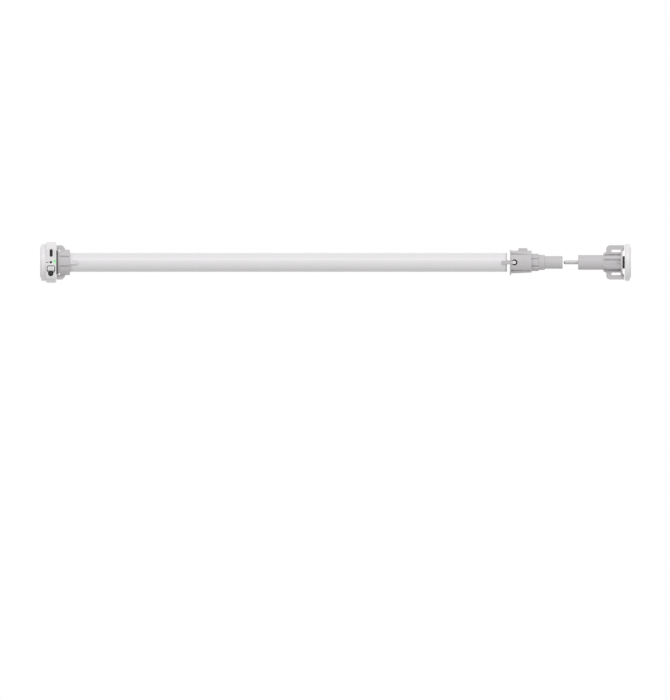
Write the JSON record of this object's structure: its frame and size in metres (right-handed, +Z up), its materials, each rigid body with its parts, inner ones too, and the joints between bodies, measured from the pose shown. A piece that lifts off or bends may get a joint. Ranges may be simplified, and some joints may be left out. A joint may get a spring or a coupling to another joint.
{
  "type": "roller shade motor",
  "caption": "Tubular battery motor for a roller shade, with head controls, drive wheel, planetary gearbox and a separate sprung idler end, all on one axis.",
  "frame": {"origin": "on the motor's axis, at the outer face of the head's end plate", "axes": "+X along the axis towards the idler end, +Z up, the head's controls face -Y"},
  "size_m": [0.7775, 0.0537, 0.0536],
  "materials": {
    "white_plastic": "satin moulded plastic",
    "white_paint": "smooth powder coat on the tube",
    "grey_plastic": "fine matt moulded plastic",
    "light_plastic": "matt moulded plastic",
    "dark_plastic": "matt black moulded plastic",
    "neck_plastic": "matt dark moulded plastic",
    "lens_green": "clear light pipe, lit green",
    "steel": "turned steel",
    "spring_steel": "drawn spring wire",
    "zinc": "zinc plated",
    "magnet": "pressed magnet, dark grey",
    "brass": "turned brass",
    "windings": "enamelled copper wire on its core",
    "board": "board with green mask",
    "components": "moulded components",
    "nickel": "nickel plate",
    "cell_wrap": "cells in shrink wrap, with the mean density of a cell",
    "gear_plastic": "natural acetal"
  },
  "bodies": {
    "motor_body": {"end_plate": "white_plastic", "plate_screws": "zinc", "head_shell": "white_plastic", "usb_port": "steel", "status_lens": "lens_green", "port_board": "board", "reset_switch": "dark_plastic", "lever_switch": "dark_plastic", "lever_spring": "spring_steel", "head_spigot": "neck_plastic", "spigot_screws": "zinc", "crown_clip": "spring_steel", "motor_tube": "white_paint", "battery_cells": "cell_wrap", "cell_straps": "nickel", "cell_cradle": "dark_plastic", "control_board": "board", "radio_shield": "nickel", "board_components": "components", "board_guides": "dark_plastic", "hall_board": "board", "motor_end_bell": "dark_plastic", "motor_can": "zinc", "motor_magnets": "magnet", "brake_housing": "zinc", "ring_gear": "zinc", "end_cap": "grey_plastic", "output_bushes": "brass"},
    "rotor": {"rotor_shaft": "steel", "rotor_core": "windings", "brake_disc": "steel", "encoder_magnet": "magnet", "sun_gear_1": "brass"},
    "inner_carrier_1": {"carrier_1": "steel"},
    "inner_carrier_2": {"carrier_2": "steel"},
    "output": {"output_carrier": "steel", "output_shaft": "steel", "shaft_adapter": "dark_plastic", "drive_wheel": "grey_plastic", "nose_socket": "light_plastic"},
    "release_clip": {"wheel_clip": "light_plastic"},
    "head_crown": {"crown": "grey_plastic"},
    "lever": {"pull_lever": "white_plastic"},
    "button": {"reset_button": "dark_plastic"},
    "idler_base": {"idler_plate": "white_plastic", "idler_hub": "neck_plastic"},
    "idler_wheel": {"idler_crown": "grey_plastic", "idler_sleeve": "light_plastic", "sleeve_screw": "zinc", "idler_spring": "spring_steel"},
    "pin": {"idler_pin": "steel"},
    "planet_body_1a": {"planet_1a": "gear_plastic"},
    "planet_body_1b": {"planet_1b": "gear_plastic"},
    "planet_body_1c": {"planet_1c": "gear_plastic"},
    "planet_body_2a": {"planet_2a": "steel"},
    "planet_body_2b": {"planet_2b": "steel"},
    "planet_body_2c": {"planet_2c": "steel"},
    "planet_body_3a": {"planet_3a": "steel"},
    "planet_body_3b": {"planet_3b": "steel"},
    "planet_body_3c": {"planet_3c": "steel"}
  },
  "joints": [
    {"name": "drive_wheel_turn", "type": "hinge", "parent": "motor_body", "child": "output", "pos_m": [0.62, 0, 0], "axis": [1, 0, 0], "continuous": true},
    {"name": "carrier_2_turn", "type": "hinge", "parent": "motor_body", "child": "inner_carrier_2", "pos_m": [0.5495, 0, 0], "axis": [1, 0, 0], "continuous": true},
    {"name": "carrier_1_turn", "type": "hinge", "parent": "motor_body", "child": "inner_carrier_1", "pos_m": [0.537, 0, 0], "axis": [1, 0, 0], "continuous": true},
    {"name": "rotor_turn", "type": "hinge", "parent": "motor_body", "child": "rotor", "pos_m": [0.48, 0, 0], "axis": [1, 0, 0], "continuous": true},
    {"name": "planet_3a_turn", "type": "hinge", "parent": "output", "child": "planet_body_3a", "pos_m": [0.55775, 0.00607, 0], "axis": [1, 0, 0], "continuous": true},
    {"name": "planet_3b_turn", "type": "hinge", "parent": "output", "child": "planet_body_3b", "pos_m": [0.55775, -0.00304, 0.00526], "axis": [1, 0, 0], "continuous": true},
    {"name": "planet_3c_turn", "type": "hinge", "parent": "output", "child": "planet_body_3c", "pos_m": [0.55775, -0.00304, -0.00526], "axis": [1, 0, 0], "continuous": true},
    {"name": "planet_2a_turn", "type": "hinge", "parent": "inner_carrier_2", "child": "planet_body_2a", "pos_m": [0.54375, 0.00607, 0], "axis": [1, 0, 0], "continuous": true},
    {"name": "planet_2b_turn", "type": "hinge", "parent": "inner_carrier_2", "child": "planet_body_2b", "pos_m": [0.54375, -0.00304, 0.00526], "axis": [1, 0, 0], "continuous": true},
    {"name": "planet_2c_turn", "type": "hinge", "parent": "inner_carrier_2", "child": "planet_body_2c", "pos_m": [0.54375, -0.00304, -0.00526], "axis": [1, 0, 0], "continuous": true},
    {"name": "planet_1a_turn", "type": "hinge", "parent": "inner_carrier_1", "child": "planet_body_1a", "pos_m": [0.5325, 0.00607, 0], "axis": [1, 0, 0], "continuous": true},
    {"name": "planet_1b_turn", "type": "hinge", "parent": "inner_carrier_1", "child": "planet_body_1b", "pos_m": [0.5325, -0.00304, 0.00526], "axis": [1, 0, 0], "continuous": true},
    {"name": "planet_1c_turn", "type": "hinge", "parent": "inner_carrier_1", "child": "planet_body_1c", "pos_m": [0.5325, -0.00304, -0.00526], "axis": [1, 0, 0], "continuous": true},
    {"name": "crown_turn", "type": "hinge", "parent": "motor_body", "child": "head_crown", "pos_m": [0.03, 0, 0], "axis": [1, 0, 0], "continuous": true},
    {"name": "lever_pull", "type": "slide", "parent": "motor_body", "child": "lever", "axis": [0, 0, -1], "range_m": [0, 0.0025], "stiffness_N_per_m": 400, "springref_m": -0.001, "deforming": ["lever_spring"]},
    {"name": "reset_press", "type": "slide", "parent": "motor_body", "child": "button", "axis": [0, 1, 0], "range_m": [0, 0.0008], "stiffness_N_per_m": 800, "springref_m": -0.0005},
    {"name": "clip_rock", "type": "hinge", "parent": "output", "child": "release_clip", "pos_m": [0.62, -0.0144, 0], "axis": [0, 0, -1], "range_deg": [0, 5], "stiffness_Nm_per_rad": 0.05, "springref_deg": -5.73},
    {"name": "idler_reach", "type": "slide", "parent": "motor_body", "child": "idler_base", "axis": [1, 0, 0], "range_m": [-0.019, 0]},
    {"name": "idler_turn", "type": "hinge", "parent": "idler_base", "child": "idler_wheel", "pos_m": [0.755, 0, 0], "axis": [1, 0, 0], "continuous": true},
    {"name": "pin_push", "type": "slide", "parent": "idler_wheel", "child": "pin", "axis": [1, 0, 0], "range_m": [0, 0.008], "stiffness_N_per_m": 500, "springref_m": -0.004, "deforming": ["idler_spring"]}
  ],
  "couplings": [
    {"joint": "carrier_2_turn", "follows": "drive_wheel_turn", "ratio": 4.5},
    {"joint": "carrier_1_turn", "follows": "drive_wheel_turn", "ratio": 20.25},
    {"joint": "rotor_turn", "follows": "drive_wheel_turn", "ratio": 91.125},
    {"joint": "planet_3a_turn", "follows": "drive_wheel_turn", "ratio": -2.8},
    {"joint": "planet_3b_turn", "follows": "drive_wheel_turn", "ratio": -2.8},
    {"joint": "planet_3c_turn", "follows": "drive_wheel_turn", "ratio": -2.8},
    {"joint": "planet_2a_turn", "follows": "drive_wheel_turn", "ratio": -12.6},
    {"joint": "planet_2b_turn", "follows": "drive_wheel_turn", "ratio": -12.6},
    {"joint": "planet_2c_turn", "follows": "drive_wheel_turn", "ratio": -12.6},
    {"joint": "planet_1a_turn", "follows": "drive_wheel_turn", "ratio": -56.7},
    {"joint": "planet_1b_turn", "follows": "drive_wheel_turn", "ratio": -56.7},
    {"joint": "planet_1c_turn", "follows": "drive_wheel_turn", "ratio": -56.7}
  ]
}
